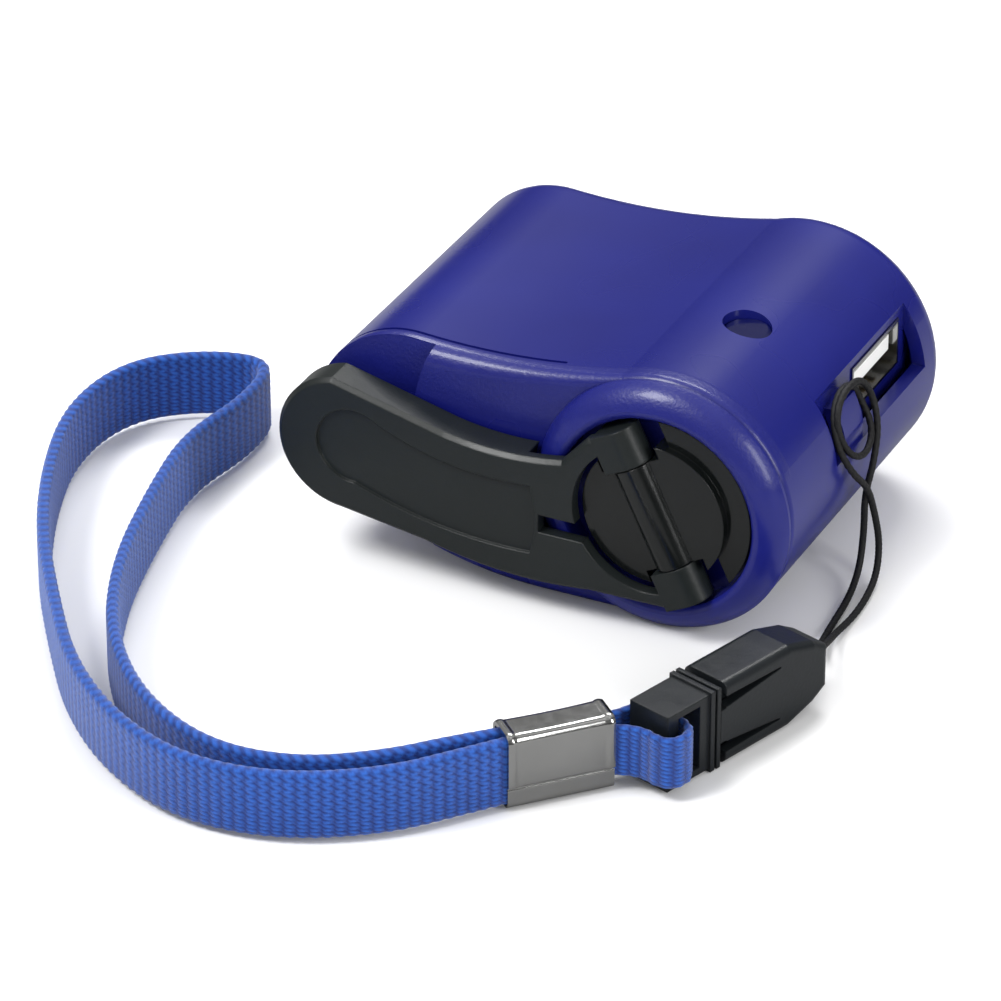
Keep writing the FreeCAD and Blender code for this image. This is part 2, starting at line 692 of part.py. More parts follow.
for number, (x, z) in enumerate(spacer_places, start=1):
    turned(f"plate_spacer_{number}", [(0, plate_a), (spacer_tip, plate_a), (spacer_tip, plate_a + plate),
                                      (spacer_r, plate_a + plate), (spacer_r, plate_b), (spacer_tip, plate_b),
                                      (spacer_tip, plate_b + plate), (0, plate_b + plate)],
           at(x, 0, z))
turned("drive_screw", [(0, drive_back - 2.6), (screw_bore, drive_back - 2.6), (screw_bore, drive_back + 1.0),
                       (hub_r + 1.0, drive_back + 1.0), (hub_r + 1.0, drive_back + 1.8), (0, drive_back + 1.8)],
       at(hub_x, 0, hub_z))

# The generator behind the rear plate
can_wall = size("can_wall")
can_front = plate_b + plate
can_back = can_front + size("can_length")
magnet_r = can_r - size("magnet_margin")
place = at(rotor_x, 0, hub_z)
turned("generator_can", [(can_r - can_wall, can_front + 0.8), (can_r, can_front + 0.8), (can_r, can_back),
                         (rotor_r + 1.2, can_back), (rotor_r + 1.2, can_back - can_wall),
                         (can_r - can_wall, can_back - can_wall)], place)
turned("generator_cap", [(rotor_r + 0.5, can_front), (can_r, can_front), (can_r, can_front + 0.8),
                         (rotor_r + 0.5, can_front + 0.8)], place)
bearing_end = can_back + 0.6
turned("generator_bearing", [(rotor_r + 0.05, can_back - 1.6), (rotor_r + 1.2, can_back - 1.6),
                             (rotor_r + 1.2, bearing_end), (rotor_r + 0.05, bearing_end)], place)
core_front, core_back = can_front + 3.0, can_back - 3.0
turned("stator_core", [(magnet_r + 0.4, core_front), (can_r - can_wall, core_front),
                       (can_r - can_wall, core_back), (magnet_r + 0.4, core_back)], place)
turned("stator_coil_front", [(magnet_r + 0.5, can_front + 1.0), (can_r - can_wall - 0.3, can_front + 1.0),
                             (can_r - can_wall - 0.3, core_front), (magnet_r + 0.5, core_front)], place)
turned("stator_coil_rear", [(magnet_r + 0.5, core_back), (can_r - can_wall - 0.3, core_back),
                            (can_r - can_wall - 0.3, can_back - 1.0), (magnet_r + 0.5, can_back - 1.0)], place)
turned("rotor_shaft", [(0, wheel_b_y - 0.4), (rotor_r, wheel_b_y - 0.4), (rotor_r, bearing_end + 0.4),
                       (0, bearing_end + 0.4)], place)
turned("rotor_magnet", [(rotor_r, can_front + 2.0), (magnet_r, can_front + 2.0), (magnet_r, can_back - 2.2),
                        (rotor_r, can_back - 2.2)], place)

# The circuit board lies level under the port, with its parts
tab_y = lens_y - 2.2
body = new_body("circuit_board")
tab_x0, tab_x1 = lens_x - 2.2, lens_x + 2.2
board_outline = polygon((board_x0, board_y0), (tab_x0, board_y0), (tab_x0, tab_y), (tab_x1, tab_y),
                        (tab_x1, board_y0), (board_x1, board_y0), (board_x1, board_y1), (board_x0, board_y1))
pad(body, "XY_Plane", board_top - board, board_outline, "Sizes.board_thickness")
lamp_height = 3.4
turned("charge_light", [(0, 0), (1.6, 0), (1.6, 0.6), (1.3, 0.6), (1.3, lamp_height), (0, lamp_height)],
       FreeCAD.Placement(V(lens_x, lens_y, board_top), FreeCAD.Rotation(V(1, 0, 0), 90)))
usb_half = size("usb_width") / 2
sheet_t = size("usb_sheet")
usb_x1 = facet + 0.2
usb_x0 = usb_x1 - size("usb_depth")
body = new_body("usb_shell")
pad(body, "YZ_Plane", usb_x0, rectangle(usb_y - usb_half, board_top, usb_y + usb_half,
                                        board_top + size("usb_height")), usb_x1 - usb_x0)
pocket(body, "YZ_Plane", usb_x1, rectangle(usb_y - usb_half + sheet_t, board_top + sheet_t,
                                           usb_y + usb_half - sheet_t, board_top + size("usb_height") - sheet_t),
       usb_x1 - usb_x0 - sheet_t)
tongue_top = usb_z + 1.1
block("usb_tongue", usb_x0 + sheet_t, usb_y - 5.6, tongue_top - 1.9, usb_x1 - 0.8, usb_y + 5.6, tongue_top)
for number in range(4):
    y = usb_y - 3.75 + 2.5 * number
    block(f"usb_contact_{number + 1}", usb_x1 - 9.0, y - 0.5, tongue_top - 2.1, usb_x1 - 1.6, y + 0.5,
          tongue_top - 1.9)
for label, dx, dy, across_x, across_y, height in (("controller_chip", 8.0, 3.4, 5.0, 5.0, 1.0),
                                                  ("rectifier", 1.5, 4.4, 3.0, 5.0, 1.6)):
    x, y = board_x0 + dx, board_y0 + dy
    block(label, x, y, board_top, x + across_x, y + across_y, board_top + height)
for label, dx, r, height in (("capacitor", 3.5, 2.0, 4.6), ("inductor", 11.0, 1.9, 2.4)):
    turned(label, [(0, 0), (r, 0), (r, height), (0, height)],
           FreeCAD.Placement(V(board_x0 + dx, board_y1 - 4.5, board_top), FreeCAD.Rotation(V(1, 0, 0), 90)))
lens_drop = 0.8
stem = lens_top - board_top - lamp_height - gap
turned("light_lens", [(0, -stem), (1.15, -stem), (1.15, 0), (lens_r - 0.05, 0), (lens_r - 0.05, lens_drop - 0.2),
                      (lens_r - 0.45, lens_drop), (0, lens_drop)],
       FreeCAD.Placement(V(lens_x, lens_y, lens_top), FreeCAD.Rotation(V(1, 0, 0), 90)))

# Cords: straight runs joined by tangent arcs

def rounded(points, name):
    """A wire through the runs between the points, with each arc as large as its two runs allow."""
    points = [V(*p) for p in points]
    edges = []
    start = points[0]
    radii = []
    for before, corner, after in zip(points, points[1:], points[2:]):
        u = (before - corner).normalize()
        w = (after - corner).normalize()
        half = u.getAngle(w) / 2
        turn = math.pi / 2 - half
        cutback = 0.45 * min(before.distanceToPoint(corner), after.distanceToPoint(corner))
        radius = cutback / math.tan(turn)
        radii.append(radius)
        a, b = corner + u * cutback, corner + w * cutback
        bisector = (u + w).normalize()
        centre = corner + bisector * math.hypot(radius, cutback)
        middle = centre - bisector * radius
        edges.append(Part.LineSegment(start, a).toShape())
        edges.append(Part.Arc(a, middle, b).toShape())
        start = b
    edges.append(Part.LineSegment(start, points[-1]).toShape())
    wire = Part.Wire(edges)
    print(f"{name}: {wire.Length:.1f} mm long, radii " + " ".join(f"{r:.1f}" for r in radii))
    return wire


def swept(wire, profile, name):
    shell = Part.BRepOffsetAPI.MakePipeShell(wire)
    shell.add(profile)
    shell.build()
    shell.makeSolid()
    made = shell.shape()
    area = Part.Face(profile).Area
    print(f"{name}: volume {made.Volume:.1f}, section times length {area * wire.Length:.1f}")
    return made


def tube(points, diameter, name):
    wire = rounded(points, name)
    edge = wire.OrderedEdges[0]
    direction = edge.tangentAt(edge.FirstParameter)
    return swept(wire, Part.Wire(Part.Circle(V(*points[0]), direction, diameter / 2).toShape()), name)


def band(points, thickness, width, name):
    """A level route with an upright flat section."""
    wire = rounded(points, name)
    edge = wire.OrderedEdges[0]
    direction = edge.tangentAt(edge.FirstParameter)
    side = V(0, 0, 1).cross(direction).normalize() * (thickness / 2)
    up = V(0, 0, width / 2)
    middle = V(*points[0])
    corners = [middle + side + up, middle + side - up, middle - side - up, middle - side + up]
    return swept(wire, Part.makePolygon(corners + corners[:1]), name)


# The leads from the generator to the board
lead_end = board_top - board
lead_width = 0.8
for label, dx, dz, board_dx, back in (("lead_red", 3.0, 4.6, 1.0, 3.4), ("lead_black", 5.0, 2.6, 2.6, 2.4)):
    lead_x, lead_z, board_x, lead_y = rotor_x + dx, hub_z + dz, board_x0 + board_dx, can_back + back
    solid(label, tube([(lead_x, can_back, lead_z), (lead_x, can_back + back * 0.55, lead_z),
                       (lead_x + 1.2, lead_y, lead_z - 1.6), ((lead_x + board_x) / 2, lead_y + 0.6, lead_z - 4.2),
                       (board_x - 0.9, lead_y + 0.3, lead_end - 3.4), (board_x, lead_y, lead_end - 2.0),
                       (board_x, lead_y, lead_end)], lead_width, label))

# The buckle lies on its edge; its own X runs from the strap end to the string end, and its Y through its thickness
buckle_turn = 72.0
buckle = FreeCAD.Placement(V(half_length, front - 18.8, 0), FreeCAD.Rotation(V(0, 0, 1), buckle_turn))
tall, thick = size("buckle_height"), size("buckle_thickness")
socket_l, prong_l = size("socket_length"), size("prong_length")
flange, loop_l = size("plug_flange"), size("plug_loop_length")
cavity_wall, clear = 1.2, 0.25
middle = tall / 2
beyond = thick + 2


def in_buckle(shape):
    shape.Placement = buckle.multiply(shape.Placement)
    return shape


def through(points, depth):
    """A solid with the given side view, centred in the buckle's thickness."""
    face = Part.Face(Part.makePolygon([V(x, -depth / 2, z) for x, z in points + points[:1]]))
    return face.extrude(V(0, depth, 0))


def brick(x0, x1, depth, z0, z1):
    return through([(x0, z0), (x1, z0), (x1, z1), (x0, z1)], depth)


# The socket narrows to the string end, and a wedge-shaped slit leaves a springy bow along each edge
waist, nose, nose_chamfer = socket_l - 6.2, 2.5, 2.2
socket = through([(0, 0.3), (0.5, 0), (waist, 0), (socket_l - nose_chamfer, 1.2), (socket_l, middle - nose),
                  (socket_l, middle + nose), (socket_l - nose_chamfer, tall - 1.2), (waist, tall),
                  (0.5, tall), (0, tall - 0.3)], thick)
side_edges = [e for e in socket.Edges if abs(e.Vertexes[0].Point.y - e.Vertexes[1].Point.y) < 1e-6
              and min(v.Point.x for v in e.Vertexes) > 0.1]
socket = socket.makeFillet(0.9, side_edges)
socket = socket.cut(brick(-0.1, prong_l + 1.9, thick - 2 * cavity_wall, cavity_wall, tall - cavity_wall))
slit_end = prong_l + 0.4
bow_gap = 0.8
for side in (1, -1):
    slit = [(-0.2, middle + side * 2.0), (-0.2, middle + side * 3.5), (slit_end, middle + side * 3.3),
            (slit_end, middle + side * 3.1)]
    socket = socket.cut(through(slit, beyond))
    socket = socket.cut(brick(-0.2, bow_gap, beyond, middle + side * 2.0, middle + side * tall))
socket = socket.cut(Part.makeCylinder(1.1, 6, V(socket_l - 4, 0, middle), V(1, 0, 0)))
solid("buckle_socket", in_buckle(socket.removeSplitter()))

# The plug: a loop for the strap, a grooved flange, a guide tongue and the seats of its two latch prongs
loop_side, loop_bar = 0.8, 1.6
seat_x, seat_rise = 1.2, 2.3
prong_root, prong_t = 0.7, 1.3
inner_t = thick - 2 * cavity_wall - 2 * clear
inner_h = tall - 2 * cavity_wall - 2 * clear
plug = brick(-flange - loop_l, -flange, thick - 0.6, 0.4, tall - 0.4)
plug = plug.cut(brick(-flange - loop_l + loop_bar, -flange - 1.4, beyond, 0.4 + loop_side, tall - 0.4 - loop_side))
plug = plug.fuse(brick(-flange, -0.05, thick, 0.1, tall - 0.1))
groove_x = -flange * 0.6
groove = brick(groove_x, groove_x + 0.35, beyond, 0, tall)
plug = plug.cut(groove.cut(brick(-flange, 0.4, thick - 1.0, 0.6, tall - 0.6)))
plug = plug.fuse(brick(-0.2, seat_x + 0.9, inner_t, middle - inner_h / 2, middle + inner_h / 2))
plug = plug.fuse(brick(-0.2, prong_l - 0.2, 1.4, middle - 0.7, middle + 0.7))
for side in (1, -1):
    z = middle + side * seat_rise
    plug = plug.cut(Part.makeCylinder(prong_root + fit, thick, V(seat_x, -thick / 2, z), V(0, 1, 0)))
    plug = plug.cut(brick(seat_x, seat_x + 2, thick, z - prong_t / 2 - 0.15, z + prong_t / 2 + 0.15))
solid("buckle_plug", in_buckle(plug.removeSplitter()))

# Each prong turns a little in its seat, and carries a barb at its tip
barb_x, barb_rise = prong_l - 2.2, 1.2
for label, side in (("latch_prong_1", 1), ("latch_prong_2", -1)):
    z = middle + side * seat_rise
    prong = Part.makeCylinder(prong_root, inner_t, V(seat_x, -inner_t / 2, z), V(0, 1, 0))
    prong = prong.fuse(brick(seat_x, prong_l, inner_t, z - prong_t / 2, z + prong_t / 2))
    barb = through([(barb_x, z), (prong_l, z), (prong_l, z + side * 0.7), (prong_l - 0.9, z + side * barb_rise),
                    (barb_x, z + side * barb_rise)], inner_t)
    solid(label, in_buckle(prong.fuse(barb).removeSplitter()))

# The crimped ferrule gathers the strap's four layers
ferrule_turn = 47.0
ferrule_end = V(half_length - 15.0, front - 36.0, 0)
ferrule_place = FreeCAD.Placement(ferrule_end, FreeCAD.Rotation(V(0, 0, 1), ferrule_turn))
fl, fh, ft, fs = (size(n) for n in ("ferrule_length", "ferrule_height", "ferrule_thickness", "ferrule_sheet"))
ferrule = Part.makeBox(fl, ft, fh, V(0, -ft / 2, 0))
ferrule = ferrule.makeFillet(1.0, [e for e in ferrule.Edges if e.BoundBox.XLength > fl - 1])
ferrule = ferrule.cut(Part.makeBox(fl + 2, ft - 2 * fs, fh - 2 * fs, V(-1, -ft / 2 + fs, fs)))
ferrule = ferrule.cut(Part.makeBox(fl + 2, fs * 0.6 + 1, 0.5, V(-1, -ft / 2 - 1, fh * 0.28)))
ferrule.Placement = ferrule_place
solid("ferrule", ferrule)

strap_z = size("strap_floor_gap") + size("strap_width") / 2
strap_t = size("strap_thickness")


def from_ferrule(along, aside):
    point = ferrule_place.multVec(V(along, aside, strap_z))
    return (point.x, point.y, point.z)


lay = strap_t / 2 + 0.1
strap_route = [
    from_ferrule(3.0, -lay), from_ferrule(-4.8, -lay - 0.6), (7.2, -71.2, strap_z), (-2.2, -77.0, strap_z),
    (-13.0, -78.2, strap_z), (-23.5, -73.9, strap_z), (-33.0, -66.0, strap_z), (-41.0, -55.4, strap_z),
    (-48.8, -44.2, strap_z), (-55.2, -31.8, strap_z), (-59.8, -18.5, strap_z), (-59.0, -7.2, strap_z),
    (-52.4, -0.8, strap_z), (-43.8, 1.2, strap_z), (-42.6, -7.9, strap_z), (-44.6, -18.5, strap_z),
    (-42.2, -31.0, strap_z), (-38.3, -46.0, strap_z), (-32.0, -59.0, strap_z), (-22.8, -69.2, strap_z),
    (-12.0, -74.6, strap_z), (-2.0, -73.6, strap_z), (6.0, -68.0, strap_z), from_ferrule(-4.8, lay + 0.5),
    from_ferrule(3.0, lay),
]
solid("wrist_strap", band(strap_route, strap_t, size("strap_width"), "wrist_strap"))

# The strap's short end passes through the plug's loop and back into the ferrule
tab_width = size("tab_width")
tab_z = strap_z + (tall / 2 - strap_z) * 0.4
slot_x = -flange - loop_l + loop_bar + (loop_l - 3.0) / 2
beside = thick / 2 + 1.0


def from_buckle(along, aside):
    point = buckle.multVec(V(along, aside, tab_z))
    return (point.x, point.y, point.z)


def at_ferrule(along, aside):
    x, y, _ = from_ferrule(along, aside)
    return (x, y, tab_z)


tab_route = [at_ferrule(fl - 3.0, lay), at_ferrule(fl + 2.4, lay + 0.1), from_buckle(slot_x, beside),
             from_buckle(slot_x, -beside), from_buckle(slot_x - 4.7, -beside - 0.2),
             at_ferrule(fl + 2.2, -lay - 0.8), at_ferrule(fl - 3.0, -lay)]
solid("strap_tab", band(tab_route, 0.9, tab_width, "strap_tab"))

# The string: up from the socket, twice round the post, and down again
string_route = [
    (35.0, -25.5, 4.9), (34.3, -21.8, 2.7), (33.1, -17.6, 0.9), (32.3, -12.4, 0.45), (31.9, -7.0, 0.6),
    (31.3, -2.6, 1.9), (31.0, -0.9, 6.0), (31.2, -1.6, 10.8), (31.6, -0.2, 14.4), (30.8, 2.9, 17.6),
    (29.3, 3.7, 21.2), (29.0, 0.6, 24.0), (28.8, -3.8, 23.7), (29.2, -5.7, 20.8), (30.6, -4.9, 17.3),
    (31.2, -1.6, 15.7), (30.6, 1.9, 17.3), (28.7, 2.5, 20.4), (28.0, 1.0, 23.0), (28.0, -2.7, 23.3),
    (28.6, -5.2, 21.4), (29.7, -6.1, 18.6), (31.3, -5.4, 15.4), (31.7, -2.0, 12.2), (31.9, -0.2, 8.0),
    (32.3, 0.6, 4.0), (32.9, -1.4, 1.1), (33.5, -5.4, 0.5), (33.8, -10.0, 0.45), (33.7, -14.6, 0.9),
    (34.3, -18.4, 2.0), (35.2, -22.0, 3.6), (36.1, -25.7, 4.9),
]
solid("string_loop", tube(string_route, size("string_diameter"), "string_loop"))

doc.recompute()

# Check every object, then write each piece

for obj in doc.Objects:
    if "Invalid" in obj.State or "Error" in obj.State:
        raise RuntimeError(f"{obj.Label} failed: {obj.State}")
for label, obj in nodes.items():
    shape = obj.Shape
    if shape.isNull() or not shape.isValid():
        raise RuntimeError(label + " has no valid shape")
    if len(shape.Solids) != 1:
        print(label, "has", len(shape.Solids), "solids")
for label, obj in nodes.items():
    obj.Shape.exportStep(f"parts/{label}.step")
print(len(nodes), "pieces")
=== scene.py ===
import json
import math

import bpy
from mathutils import Matrix, Vector


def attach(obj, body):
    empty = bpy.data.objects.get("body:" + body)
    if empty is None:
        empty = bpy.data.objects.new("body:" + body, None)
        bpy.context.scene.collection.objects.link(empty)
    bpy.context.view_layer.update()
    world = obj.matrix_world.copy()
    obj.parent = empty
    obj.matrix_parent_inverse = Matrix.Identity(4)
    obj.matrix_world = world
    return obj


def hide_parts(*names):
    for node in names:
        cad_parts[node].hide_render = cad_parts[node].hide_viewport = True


# A hand crank charger for phones in a plain studio. Metres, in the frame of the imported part.

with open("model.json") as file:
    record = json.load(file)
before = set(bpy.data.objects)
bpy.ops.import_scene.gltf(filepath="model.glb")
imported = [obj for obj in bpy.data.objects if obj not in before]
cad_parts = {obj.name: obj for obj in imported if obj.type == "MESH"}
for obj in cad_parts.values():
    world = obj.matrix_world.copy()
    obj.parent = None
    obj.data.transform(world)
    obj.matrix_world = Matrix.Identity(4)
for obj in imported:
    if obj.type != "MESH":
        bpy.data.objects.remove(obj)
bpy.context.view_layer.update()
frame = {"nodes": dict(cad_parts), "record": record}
MM = 0.001


def mm(points):
    return [Vector(p) * MM for p in points]


# Materials

def new_material(name):
    material = bpy.data.materials.new(name)
    material.use_nodes = True
    tree = material.node_tree
    return material, tree, tree.nodes["Principled BSDF"]


def noise(tree, scale, detail=3.0, roughness=0.55, vector=None):
    made = tree.nodes.new("ShaderNodeTexNoise")
    made.inputs["Scale"].default_value = scale
    made.inputs["Detail"].default_value = detail
    made.inputs["Roughness"].default_value = roughness
    if vector is None:
        vector = tree.nodes.new("ShaderNodeTexCoord").outputs["Object"]
    tree.links.new(vector, made.inputs["Vector"])
    return made.outputs["Fac"]


def spread(tree, value, low, high, start=0.2, end=0.8):
    """Maps start..end onto low..high. Noise keeps to about 0.2 to 0.8, so it isn't clamped."""
    made = tree.nodes.new("ShaderNodeMapRange")
    made.inputs["From Min"].default_value = start
    made.inputs["From Max"].default_value = end
    made.inputs["To Min"].default_value = low
    made.inputs["To Max"].default_value = high
    tree.links.new(value, made.inputs["Value"])
    return made.outputs["Result"]


def blend_colours(tree, factor, first, second):
    made = tree.nodes.new("ShaderNodeMix")
    made.data_type = "RGBA"
    tree.links.new(factor, made.inputs["Factor"])
    for socket, colour in (("A", first), ("B", second)):
        target = [s for s in made.inputs if s.name == socket and s.type == "RGBA"][0]
        if isinstance(colour, bpy.types.NodeSocket):
            tree.links.new(colour, target)
        else:
            target.default_value = (*colour, 1)
    return [s for s in made.outputs if s.type == "RGBA"][0]


def arithmetic(tree, operation, a, b=0.0):
    made = tree.nodes.new("ShaderNodeMath")
    made.operation = operation
    for socket, value in zip(made.inputs, (a, b)):
        if isinstance(value, bpy.types.NodeSocket):
            tree.links.new(value, socket)
        else:
            socket.default_value = value
    return made.outputs[0]


def bump(tree, height, distance, strength=1.0, before=None):
    made = tree.nodes.new("ShaderNodeBump")
    made.inputs["Strength"].default_value = strength
    made.inputs["Distance"].default_value = distance
    tree.links.new(height, made.inputs["Height"])
    if before is not None:
        tree.links.new(before, made.inputs["Normal"])
    return made.outputs["Normal"]


def rounded_edges(tree, radius, samples=4):
    """A normal that rounds the hard edges of a moulding, as a mould does."""
    made = tree.nodes.new("ShaderNodeBevel")
    made.samples = samples
    made.inputs["Radius"].default_value = radius
    return made.outputs["Normal"]


def scaled(colour, factor):
    return tuple(min(1.0, c * factor) for c in colour)


def moulded(name, colour, roughness, grain=2600.0, grain_depth=0.00003, coat=0.0, coat_roughness=0.2,
            variation=0.12, specular=0.4, edge=0.0):
    """Moulded plastic: slow tone drift, fine moulded grain, patchy gloss and softened edges."""
    material, tree, shader = new_material(name)
    drift = spread(tree, noise(tree, 60.0, 2.0), 0.0, 1.0)
    tone = blend_colours(tree, drift, scaled(colour, 1 - variation), scaled(colour, 1 + variation))
    tree.links.new(tone, shader.inputs["Base Color"])
    tree.links.new(spread(tree, noise(tree, 240.0, 5.0), roughness - 0.04, roughness + 0.05),
                   shader.inputs["Roughness"])
    rounding = rounded_edges(tree, edge) if edge else None
    peel = bump(tree, noise(tree, 420.0, 2.0), 0.00002, 0.5, rounding)
    tree.links.new(bump(tree, noise(tree, grain, 3.0, 0.7), grain_depth, 0.6, peel), shader.inputs["Normal"])
    shader.inputs["Coat Weight"].default_value = coat
    shader.inputs["Coat Roughness"].default_value = coat_roughness
    shader.inputs["Specular IOR Level"].default_value = specular
    return material


def metal(name, colour, roughness, stretch=(1, 1, 1), depth=0.00001):
    """Machined or plated metal with fine directional marks."""
    material, tree, shader = new_material(name)
    mapping = tree.nodes.new("ShaderNodeMapping")
    mapping.inputs["Scale"].default_value = stretch
    tree.links.new(tree.nodes.new("ShaderNodeTexCoord").outputs["Object"], mapping.inputs["Vector"])
    marks = noise(tree, 900.0, 6.0, 0.7, mapping.outputs["Vector"])
    stain = spread(tree, noise(tree, 180.0, 3.0), 0.0, 1.0)
    tree.links.new(blend_colours(tree, stain, scaled(colour, 0.86), colour), shader.inputs["Base Color"])
    tree.links.new(spread(tree, marks, roughness * 0.7, roughness * 1.5), shader.inputs["Roughness"])
    tree.links.new(bump(tree, marks, depth, 0.5), shader.inputs["Normal"])
    shader.inputs["Metallic"].default_value = 1.0
    return material


# Where the front lip starts: ahead of the crease in Y and above the arm in Z, each as a soft step
LIP_FRONT = (-17.4 * MM, -17.0 * MM)
LIP_BOTTOM = (20.5 * MM, 21.2 * MM)


def case_plastic():
    """Deep blue gloss plastic, with a coarser moulded grain on the front lip."""
    material, tree, shader = new_material("case_blue")
    place = tree.nodes.new("ShaderNodeTexCoord").outputs["Object"]
    axes = tree.nodes.new("ShaderNodeSeparateXYZ")
    tree.links.new(place, axes.inputs["Vector"])
    ahead = spread(tree, axes.outputs["Y"], 1.0, 0.0, *LIP_FRONT)
    above = spread(tree, axes.outputs["Z"], 0.0, 1.0, *LIP_BOTTOM)
    lip = arithmetic(tree, "MULTIPLY", ahead, above)
    drift = spread(tree, noise(tree, 45.0, 2.0), 0.0, 1.0)
    tone = blend_colours(tree, drift, CASE_BLUE_DARK, CASE_BLUE)
    tree.links.new(tone, shader.inputs["Base Color"])
    smooth = spread(tree, noise(tree, 60.0, 1.0), 0.25, 0.31, 0.0, 1.0)
    rough = arithmetic(tree, "ADD", smooth, arithmetic(tree, "MULTIPLY", lip, 0.12))
    tree.links.new(rough, shader.inputs["Roughness"])
    peel = bump(tree, noise(tree, 160.0, 1.0), 0.00002, 0.3)
    grain = arithmetic(tree, "MULTIPLY", noise(tree, 2300.0, 2.0, 0.6), lip)
    tree.links.new(bump(tree, grain, 0.00007, 0.8, peel), shader.inputs["Normal"])
    shader.inputs["Coat Weight"].default_value = 0.25
    shader.inputs["Coat Roughness"].default_value = 0.14
    shader.inputs["Specular IOR Level"].default_value = 0.4
    return material


def knitted(name, colour, dark):
    """Polyester knit. The stitches are modelled; the shader adds filaments, sheen and painted shade in the
    recesses between stitches.
    """
    material, tree, shader = new_material(name)
    uv = tree.nodes.new("ShaderNodeUVMap").outputs["UV"]
    depth = tree.nodes.new("ShaderNodeAttribute")
    depth.attribute_name = "stitch_height"
    # Painted shade: the colour turns to the darker blue where the stitches sink in
    painted_recess_shade = spread(tree, depth.outputs["Fac"], 0.0, 1.0, 0.05, 0.75)
    mottled = spread(tree, noise(tree, 700.0, 3.0), 0.88, 1.08)
    base = blend_colours(tree, painted_recess_shade, dark, colour)
    shade = tree.nodes.new("ShaderNodeVectorMath")
    shade.operation = "SCALE"
    tree.links.new(base, shade.inputs[0])
    tree.links.new(mottled, shade.inputs["Scale"])
    tree.links.new(shade.outputs["Vector"], shader.inputs["Base Color"])
    mapping = tree.nodes.new("ShaderNodeMapping")
    mapping.inputs["Scale"].default_value = (2.0, 9.0, 1.0)
    tree.links.new(uv, mapping.inputs["Vector"])
    fibre = noise(tree, 3.0, 4.0, 0.7, mapping.outputs["Vector"])
    tree.links.new(bump(tree, fibre, 0.00008, 0.7), shader.inputs["Normal"])
    tree.links.new(spread(tree, fibre, 0.5, 0.75), shader.inputs["Roughness"])
    shader.inputs["Sheen Weight"].default_value = 0.35
    shader.inputs["Sheen Roughness"].default_value = 0.4
    shader.inputs["Specular IOR Level"].default_value = 0.35
    return material


def clear_plastic(name, colour, frost, clear=0.4):
    """Tinted clear plastic, frosted by the given roughness."""
    material, tree, shader = new_material(name)
    tint = blend_colours(tree, noise(tree, 500.0), scaled(colour, 0.92), colour)
    tree.links.new(tint, shader.inputs["Base Color"])
    tree.links.new(spread(tree, noise(tree, 900.0), frost, frost + 0.1), shader.inputs["Roughness"])
    shader.inputs["Transmission Weight"].default_value = clear
    shader.inputs["IOR"].default_value = 1.49
    return material


CASE_BLUE = (0.008, 0.012, 0.175)
CASE_BLUE_DARK = (0.006, 0.008, 0.13)
STRAP_BLUE = (0.014, 0.108, 0.50)
# STRAP_SHADE is the darker blue painted into the recesses of the knit as shade
STRAP_SHADE = (0.004, 0.026, 0.18)

materials = {
    "case_blue": case_plastic(),
    "arm_black": moulded("arm_black", (0.011, 0.014, 0.014), 0.36, 2400.0, 0.00003, edge=0.3 * MM),
    "hub_black": moulded("hub_black", (0.004, 0.005, 0.005), 0.18, 3000.0, 0.00001, 0.3, 0.1,
                         edge=0.2 * MM),
    "knob_black": moulded("knob_black", (0.010, 0.011, 0.011), 0.36, edge=0.2 * MM),
    "steel": metal("steel", (0.55, 0.56, 0.58), 0.30),
    "nickel": metal("nickel", (0.48, 0.48, 0.47), 0.15, (1, 1, 6)),
    "gear_white": moulded("gear_white", (0.74, 0.72, 0.65), 0.45),
    "brass": metal("brass", (0.78, 0.57, 0.24), 0.26),
    "iron": metal("iron", (0.16, 0.16, 0.17), 0.5, (1, 14, 1), 0.00004),
    "copper": metal("copper", (0.72, 0.28, 0.10), 0.28, (1, 16, 1), 0.00005),
    "magnet": moulded("magnet", (0.045, 0.045, 0.05), 0.55),
    "board_green": moulded("board_green", (0.012, 0.13, 0.04), 0.3),
    "chip_black": moulded("chip_black", (0.016, 0.016, 0.018), 0.5),
    "tongue_white": moulded("tongue_white", (0.86, 0.86, 0.84), 0.35),
    "gold": metal("gold", (0.85, 0.62, 0.26), 0.2),
    "lens_clear": clear_plastic("lens_clear", (0.005, 0.007, 0.08), 0.1),
    "wire_red": moulded("wire_red", (0.45, 0.015, 0.01), 0.45),
    "wire_black": moulded("wire_black", (0.012, 0.012, 0.012), 0.45),
    "buckle_dark": moulded("buckle_dark", (0.009, 0.011, 0.013), 0.3, 2400.0, 0.00003,
                           edge=0.25 * MM),
    "strap_blue": knitted("strap_blue", STRAP_BLUE, STRAP_SHADE),
    "string_black": moulded("string_black", (0.010, 0.010, 0.011), 0.6, 5000.0, 0.00006,
                            specular=0.3),
}

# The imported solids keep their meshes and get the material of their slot
for part in frame["record"]["subparts"]:
    data = frame["nodes"][part["node"]].data
    data.materials.clear()
    data.materials.append(materials[part["material_slot"]])


# Pieces

def add_piece(name, mesh, slot, body):
    piece = bpy.data.objects.new(name, mesh)
    bpy.context.scene.collection.objects.link(piece)
    mesh.materials.append(materials[slot])
    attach(piece, body)
    return piece


def route_points(points, resolution):
    """The smooth line that a route's control points give, as points in order."""
    curve = bpy.data.curves.new("route", "CURVE")
    curve.dimensions = "3D"
    spline = curve.splines.new("NURBS")
    spline.points.add(len(points) - 1)
    for target, point in zip(spline.points, points):
        target.co = (*point, 1)
    spline.order_u = 3
    spline.use_endpoint_u = True
    spline.resolution_u = resolution
    holder = bpy.data.objects.new("route", curve)
    bpy.context.scene.collection.objects.link(holder)
    mesh = bpy.data.meshes.new_from_object(holder)
    line = [v.co.copy() for v in mesh.vertices]
    bpy.data.objects.remove(holder)
    bpy.data.curves.remove(curve)
    bpy.data.meshes.remove(mesh)
    return line


